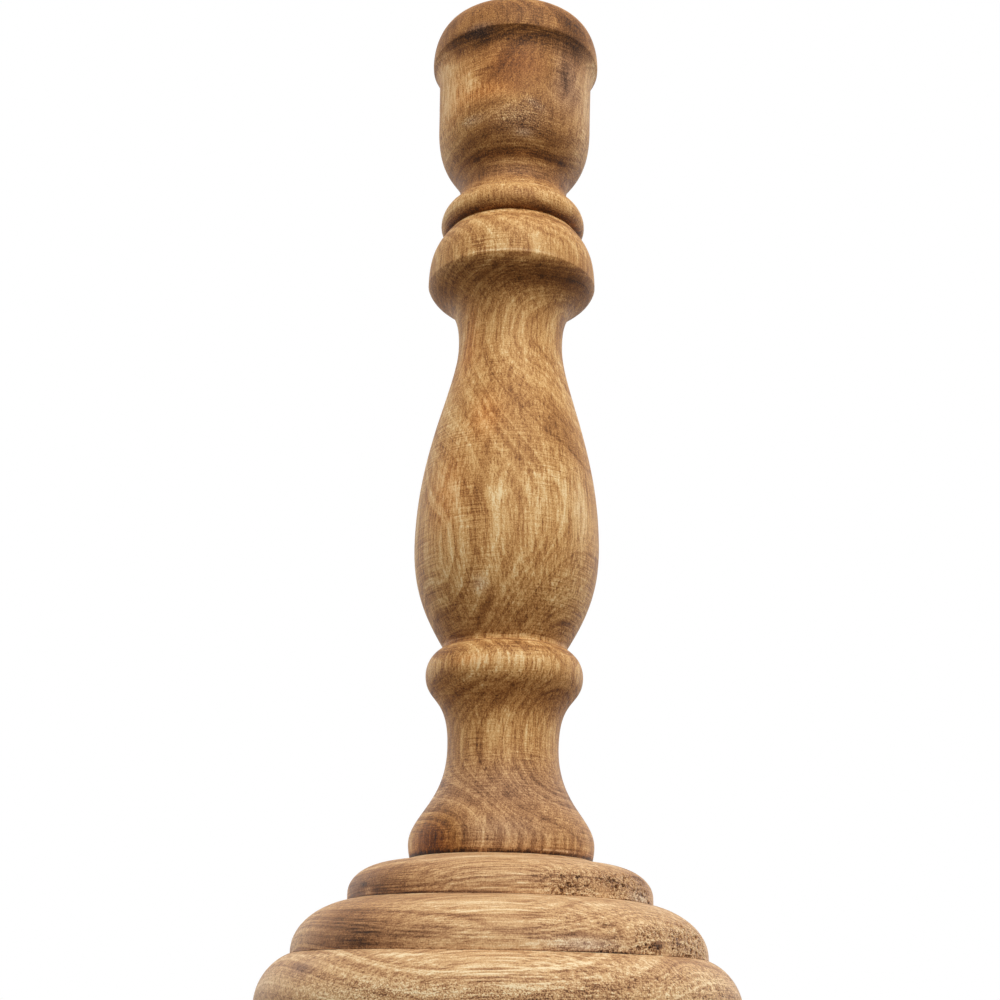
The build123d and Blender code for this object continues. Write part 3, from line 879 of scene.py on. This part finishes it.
MARKS["base_tier_middle"] = [
    Mark(340, 925, 20, 14, -0.3, warmth=0.1),
    Mark(362, 936, 9, 4.5, -0.2),
    Mark(357, 943, 6, 1.5, -0.06, warmth=0.1),
    Mark(425, 933, 9, 1.8, -0.16),
    Mark(420, 944, 18, 1.2, -0.12),
    Mark(478, 922, 8, 0.8, -0.16, lean=20),
    Mark(480, 905, 14, 2.5, 0.05),
    Mark(535, 914, 12, 4, -0.03),
    Mark(600, 905, 6, 1.2, 0.15),
    Mark(550, 933, 14, 0.8, -0.2),
    Mark(596, 937, 9, 0.7, -0.22),
    Mark(585, 945, 10, 2, 0.02, warmth=-0.45, torn=0.5),
    # Painted shadow in the gap under the middle tier's lower edge
    Mark(610, 953, 11, 0.6, -0.55),
    Mark(657, 946, 2, 1.5, -0.4),
    Mark(678, 942, 1.2, 1.2, -0.35),
    Mark(620, 930, 1.5, 1, -0.3),
]
MARKS["base_tier_bottom"] = [
    Mark(320, 955, 9, 0.7, 0.22),
    Mark(405, 955, 8, 0.7, 0.2),
    Mark(303, 967, 6, 3, -0.16, warmth=-0.2),
    Mark(365, 990, 16, 3.5, 0.08, torn=0.8),
    Mark(500, 993, 26, 3, 0.02, torn=1.2),
    Mark(382, 993, 3, 1.5, -0.16),
    Mark(482, 991, 4, 2, -0.2),
    Mark(480, 975, 20, 8, 0.06),
    Mark(555, 965, 15, 4, 0.12),
    Mark(650, 975, 15, 8, 0.05),
    Mark(712, 985, 9, 6, 0.14),
]
print(sum(len(marks) for marks in MARKS.values()), "marks")

# %% [markdown]
# ## Turning the five pieces
# Each outline now goes through the lathe tree, and the marks are laid on the result. Wood that is
# turned across the grain chips and tears far more than a spindle turned along it, so only the base
# has tears, and its chips are larger. The bottom tier's tears are shallower, as in the photograph.

# %% Turn the wooden pieces
SHALLOW_TEAR_MM = 0.5
NO_TEAR_MM = 0.0
TEAR_LENGTH_MM = 1.2
TEAR_TURN = math.radians(-44)
UNEVEN_DEPTH_MM = 0.1
SEED_STEP = 3.7
Chips = namedtuple("Chips", "depth_mm length_mm share")
CHIPS = {"mango_base": Chips(0.5, 3.0, 0.2), "mango_spindle": Chips(0.12, 2.0, 0.12)}
Turning = namedtuple("Turning", "wood slot turn_steps open_step arris_step tear_mm")
TURNED = {
    "base_tier_bottom": Turning(base_wood, "mango_base", 950, 0.55, 0.3, SHALLOW_TEAR_MM),
    "base_tier_middle": Turning(base_wood, "mango_base", 900, 0.5, 0.3, DEEP_TEAR_MM),
    "base_tier_top": Turning(base_wood, "mango_base", 760, 0.5, 0.3, DEEP_TEAR_MM),
    "baluster_shaft": Turning(spindle_wood, "mango_spindle", 300, 1.0, 0.35, NO_TEAR_MM),
    "candle_cup": Turning(cup_wood, "mango_spindle", 300, 0.8, 0.35, NO_TEAR_MM),
}
for order, (name, turning) in enumerate(TURNED.items()):
    chips = CHIPS[turning.slot]
    values = {
        "Turn Steps": turning.turn_steps,
        "Unevenness": UNEVEN_DEPTH_MM * MM,
        "Chip Depth": chips.depth_mm * MM,
        "Chip Length": chips.length_mm * MM,
        "Chip Share": chips.share,
        "Tear Depth": turning.tear_mm * MM,
        "Tear Length": TEAR_LENGTH_MM * MM,
        "Tear Toward": (math.cos(TEAR_TURN), math.sin(TEAR_TURN), 0.0),
        "Seed": SEED_STEP * order,
        "Material": turning.wood,
    }
    outline = outline_mesh(name, turning.open_step, turning.arris_step)
    piece = run_tree(lathe, "turned_" + name, outline, values)
    mark_wood(piece, MARKS[name])
    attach(piece, "stand")
    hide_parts(name)

# %% [markdown]
# ## Brass and steel
# The drip pan is spun from sheet brass over a form, and its spike, washer, nut and the insert in the
# foot are turned from brass rod. Both ways leave fine rings round the axis, and handling leaves thin
# brown tarnish that is patchy. The rings are one noise over the distance travelled outwards and
# upwards, so they follow a flat floor as well as a wall. The bolt and its washer are steel with a
# thin bluish zinc plating, which is cloudy and has a faint yellow bloom.

# %% Ringed brass and zinc plate
DULL_ROUGH_SHARE = 0.22
RING_ROUGH_SHARE = 0.2
RING_DEPTH_MM = 0.03


def ringed_metal(name, bright, tarnished, ring_mm, cloud_mm, roughness):
    """A metal with tool rings round the axis. The tarnish is dull and lies in patches."""
    made, tree, shader = new_material(name)
    here = add_node(tree, "TexCoord").outputs["Object"]
    here = add_node(tree, "VectorMath SCALE", {0: here, "Scale": 1 / MM})
    outward = add_node(tree, "VectorMath MULTIPLY", {0: here, 1: (1, 1, 0)})
    outward = add_node(tree, "VectorMath LENGTH", {0: outward}).outputs["Value"]
    upward = add_node(tree, "SeparateXYZ", {0: here}).outputs["Z"]
    travelled = add_node(tree, "Math ADD", {0: outward, 1: upward})
    rings = {"W": travelled, "Scale": 1 / ring_mm, "Detail": 3.0, "Roughness": 0.7}
    rings = add_node(tree, "TexNoise", rings, noise_dimensions="1D")
    cloud = {"Vector": here, "Scale": 1 / cloud_mm, "Detail": 5.0, "Roughness": 0.62}
    cloud = add_node(tree, "TexNoise", cloud)
    dull = {"Value": cloud, "From Min": 0.42, "From Max": 0.68}
    dull = add_node(tree, "MapRange", dull, interpolation_type="SMOOTHSTEP")
    colour = {0: dull, 6: linear(bright), 7: linear(tarnished)}
    colour = add_node(tree, "Mix", colour, data_type="RGBA").outputs[2]
    rough = roughness - RING_ROUGH_SHARE / 2
    for pattern, share in ((dull, DULL_ROUGH_SHARE), (rings, RING_ROUGH_SHARE)):
        rough = add_node(tree, "Math MULTIPLY_ADD", {0: pattern, 1: share, 2: rough})
    bump = {"Height": rings, "Distance": RING_DEPTH_MM * MM, "Strength": 0.7}
    bump = add_node(tree, "Bump", bump)
    feed(tree, shader, {"Base Color": colour, "Roughness": rough, "Normal": bump, "Metallic": 1.0})
    return made


# Spun brass has broad soft rings and brown clouds, turned rod has fine rings, and zinc is cloudy grey
spun_brass = ringed_metal(
    "brass_spun_over_a_form", "#CDB584", "#94815C", ring_mm=0.5, cloud_mm=9.0, roughness=0.34
)
turned_brass = ringed_metal(
    "brass_turned_from_rod", "#C9B07C", "#8E7A52", ring_mm=0.25, cloud_mm=5.0, roughness=0.3
)
zinc_plate = ringed_metal(
    "steel_zinc_plated", "#C4C8CB", "#9C9A8C", ring_mm=0.9, cloud_mm=3.0, roughness=0.4
)
METAL_NODES = {
    spun_brass: ("drip_pan",),
    turned_brass: ("pricket_spike", "pricket_washer", "pricket_nut", "threaded_insert"),
    zinc_plate: ("base_bolt", "bolt_washer"),
}
for material, names in METAL_NODES.items():
    for name in names:
        nodes[name].data.materials.clear()
        nodes[name].data.materials.append(material)
    print(material.name, "on", ", ".join(names))

# %% [markdown]
# ## Beech dowel
# The dowel that joins the shaft and the cup is machined beech: pale pinkish wood with short brown
# flecks, where the wood's rays are cut across. It is hidden by the glue joint, but shows when the
# pieces are looked at one by one.

# %% Beech
FLECK_MM = 0.5
FLECK_LENGTH_MM = 3.5
FLECK_LIFT_MM = 0.08
BEECH_COLOURS = {0.4: "#E0C49C", 0.68: "#A87B52"}

# Beech is pale and matt, with short darker flecks along the dowel
beech, tree, shader = new_material("beech_machined_dowel")
here = add_node(tree, "TexCoord").outputs["Object"]
stretch = (1 / (FLECK_MM * MM), 1 / (FLECK_MM * MM), 1 / (FLECK_LENGTH_MM * MM))
fleck = add_node(tree, "Mapping", {"Vector": here, "Scale": stretch})
fleck = add_node(tree, "TexNoise", {"Vector": fleck, "Scale": 1.0, "Detail": 2.0})
ramp = add_node(tree, "ValToRGB", {"Fac": fleck})
for stop, (place, colour) in zip(ramp.color_ramp.elements, BEECH_COLOURS.items()):
    stop.position = place
    stop.color = linear(colour)
lift = add_node(tree, "Bump", {"Height": fleck, "Distance": FLECK_LIFT_MM * MM, "Strength": 0.6})
feed(tree, shader, {"Base Color": ramp, "Normal": lift, "Roughness": 0.6})
nodes["cup_dowel"].data.materials.clear()
nodes["cup_dowel"].data.materials.append(beech)
print("beech flecks", FLECK_MM, "by", FLECK_LENGTH_MM, "mm")

# %% [markdown]
# ## Felt pads
# Four stick-on discs of pressed wool felt keep the base off the table. Felt is soft, so its cut edge
# bulges a little, its face is uneven, and loose fibres stand out of the edge. The lathe tree turns
# one disc with a bulged edge, and a second tree plants short bent fibres on that edge and sets the
# disc at four places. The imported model's flat discs give the places and the size.

# %% Wool felt
FELT_CLUMP_MM = 1.4
FELT_FIBRE_MM = 0.22
FELT_LIFT_MM = 0.5
FELT_COLOURS = {0.12: "#3A2D22", 0.42: "#7C6855"}

felt, tree, shader = new_material("wool_felt_pressed")
here = add_node(tree, "TexCoord").outputs["Object"]
clump = {"Vector": here, "Scale": 1 / (FELT_CLUMP_MM * MM), "Detail": 3.0}
clump = add_node(tree, "TexNoise", clump)
hair = {"Vector": here, "Scale": 1 / (FELT_FIBRE_MM * MM), "Detail": 2.0, "Distortion": 2.5}
hair = add_node(tree, "TexNoise", hair)
mottle = add_node(tree, "Math MULTIPLY", {0: clump, 1: hair})
ramp = add_node(tree, "ValToRGB", {"Fac": mottle})
for stop, (place, colour) in zip(ramp.color_ramp.elements, FELT_COLOURS.items()):
    stop.position = place
    stop.color = linear(colour)
lift = add_node(tree, "Bump", {"Height": mottle, "Distance": FELT_LIFT_MM * MM, "Strength": 0.9})
# Wool scatters light in its hairs, so it is matt with a pale sheen
feed(tree, shader, {"Base Color": ramp, "Normal": lift, "Roughness": 0.95})
feed(tree, shader, {"Sheen Weight": 0.35, "Sheen Roughness": 0.5, "Specular IOR Level": 0.1})
print("felt clumps", FELT_CLUMP_MM, "mm, hairs", FELT_FIBRE_MM, "mm")

# %% Felt pad tree
FELT_INPUTS = {
    "Pads": "Int",
    "Ring Radius": "Float",
    "First Turn": "Float",
    "Fibres": "Int",
    "Fibre Length": "Float",
    "Fibre Thickness": "Float",
    "Seed": "Int",
    "Material": "Material",
}
FIBRE_BEND_SHARE = 0.6
FIBRE_LEAN = 0.7
EDGE_BELOW = 0.75
PAD_TURN = 1.7

tree, given = new_tree("felt_pads", FELT_INPUTS)
length = given["Fibre Length"]
bent = add_node(tree, "Math MULTIPLY", {0: length, 1: FIBRE_BEND_SHARE})
half_way = add_node(tree, "CombineXYZ", {"Z": bent})
tip = add_node(tree, "CombineXYZ", {"X": bent, "Z": length})
strand = {"Resolution": 3, "Start": (0.0, 0.0, 0.0), "Middle": half_way, "End": tip}
strand = add_node(tree, "GeometryNodeCurveQuadraticBezier", strand)
section = {"Resolution": 3, "Radius": given["Fibre Thickness"]}
section = add_node(tree, "GeometryNodeCurvePrimitiveCircle", section).outputs["Curve"]
strand = {"Curve": strand, "Profile Curve": section, "Fill Caps": True}
strand = add_node(tree, "GeometryNodeCurveToMesh", strand)

# Fibres stand on the edge of the pad, where they can, and lean any way
normal = add_node(tree, "GeometryNodeInputNormal")
steep = add_node(tree, "SeparateXYZ", {0: normal}).outputs["Z"]
steep = add_node(tree, "Math ABSOLUTE", {0: steep})
on_edge = add_node(tree, "FunctionNodeCompare LESS_THAN", {0: steep, 1: EDGE_BELOW})
face_area = add_node(tree, "GeometryNodeInputMeshFaceArea")
edge_area = {0: given["Geometry"], "Selection": on_edge, "Attribute": face_area}
edge_area = add_node(tree, "GeometryNodeAttributeStatistic", edge_area, domain="FACE").outputs["Sum"]
density = add_node(tree, "Math DIVIDE", {0: given["Fibres"], 1: edge_area})
scatter = {"Mesh": given["Geometry"], "Selection": on_edge, "Density": density, "Seed": given["Seed"]}
scatter = add_node(tree, "GeometryNodeDistributePointsOnFaces", scatter)
least = (-FIBRE_LEAN, -FIBRE_LEAN, 0.0)
most = (FIBRE_LEAN, FIBRE_LEAN, math.tau)
spin = {"Min": least, "Max": most, "Seed": given["Seed"]}
spin = add_node(tree, "FunctionNodeRandomValue", spin, data_type="FLOAT_VECTOR")
turned = {"Rotation": scatter.outputs["Rotation"], "Rotate By": spin}
turned = add_node(tree, "FunctionNodeRotateRotation", turned, rotation_space="LOCAL")
fuzz = {"Points": scatter.outputs["Points"], "Instance": strand, "Rotation": turned}
fuzz = add_node(tree, "GeometryNodeInstanceOnPoints", fuzz)
pad = add_node(tree, "GeometryNodeJoinGeometry")
for joined in (given["Geometry"], fuzz):
    feed(tree, pad, {0: joined})

# The pads stand in a ring, each turned another way
ring = {"Vertices": given["Pads"], "Radius": given["Ring Radius"]}
ring = add_node(tree, "GeometryNodeMeshCircle", ring)
whole_turn = add_node(tree, "CombineXYZ", {"Z": given["First Turn"]})
ring = add_node(tree, "GeometryNodeTransform", {"Geometry": ring, "Rotation": whole_turn})
index = add_node(tree, "GeometryNodeInputIndex")
pad_turn = add_node(tree, "Math MULTIPLY", {0: index, 1: PAD_TURN})
pad_turn = add_node(tree, "CombineXYZ", {"Z": pad_turn})
pads = {"Points": ring, "Instance": pad, "Rotation": pad_turn}
pads = add_node(tree, "GeometryNodeInstanceOnPoints", pads)
pads = add_node(tree, "GeometryNodeRealizeInstances", {"Geometry": pads})
position = add_node(tree, "GeometryNodeInputPosition")
above_table = add_node(tree, "VectorMath MAXIMUM", {0: position, 1: (-1.0, -1.0, 0.0)})
pads = add_node(tree, "GeometryNodeSetPosition", {"Geometry": pads, "Position": above_table})
pads = add_node(tree, "GeometryNodeSetMaterial", {"Geometry": pads, "Material": given["Material"]})
add_node(tree, "NodeGroupOutput", {"Geometry": pads})
felt_tree = tree
print(f"felt pad tree: {len(tree.nodes)} nodes")

# %% Press the felt pads
EDGE_ROWS = 9
EDGE_BULGE_MM = 0.5
PAD_UNEVEN_MM = 0.25
FIBRE_LENGTH_MM = 0.8
FIBRE_THICK_MM = 0.035

corners = np.array([v.co for v in nodes["felt_pads"].data.vertices]) / MM
one_pad = corners[(corners[:, 0] > 0) & (corners[:, 1] > 0)]
pad_centre = (one_pad.min(axis=0) + one_pad.max(axis=0)) / 2
pad_size = one_pad.max(axis=0) - one_pad.min(axis=0)
thick = pad_size[2]
pad_radius = pad_size[0] / 2 - EDGE_BULGE_MM
rise = np.linspace(0, math.pi, EDGE_ROWS)
edge = np.column_stack((pad_radius + EDGE_BULGE_MM * np.sin(rise), thick * (1 - np.cos(rise)) / 2))
rows = np.vstack(([0, 0], [pad_radius / 2, 0], edge, [pad_radius / 2, thick], [0, thick]))
plain = np.zeros(len(rows))
pad_outline = chain_mesh("pad_outline", rows, {"along": plain, "arris": plain, "side": plain + 1})
values = {
    "Turn Steps": 72,
    "Unevenness": PAD_UNEVEN_MM * MM,
    "Chip Length": MM,
    "Tear Length": MM,
    "Seed": 0.4,
    "Material": felt,
}
pad = run_tree(lathe, "one_pad", pad_outline, values)
values = {
    "Pads": 4,
    "Ring Radius": math.hypot(pad_centre[0], pad_centre[1]) * MM,
    "First Turn": math.atan2(pad_centre[1], pad_centre[0]),
    "Fibres": 420,
    "Fibre Length": FIBRE_LENGTH_MM * MM,
    "Fibre Thickness": FIBRE_THICK_MM * MM,
    "Seed": 5,
    "Material": felt,
}
pads = run_tree(felt_tree, "pressed_felt_pads", pad.data, values)
bpy.data.objects.remove(pad)
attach(pads, "stand")
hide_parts("felt_pads")
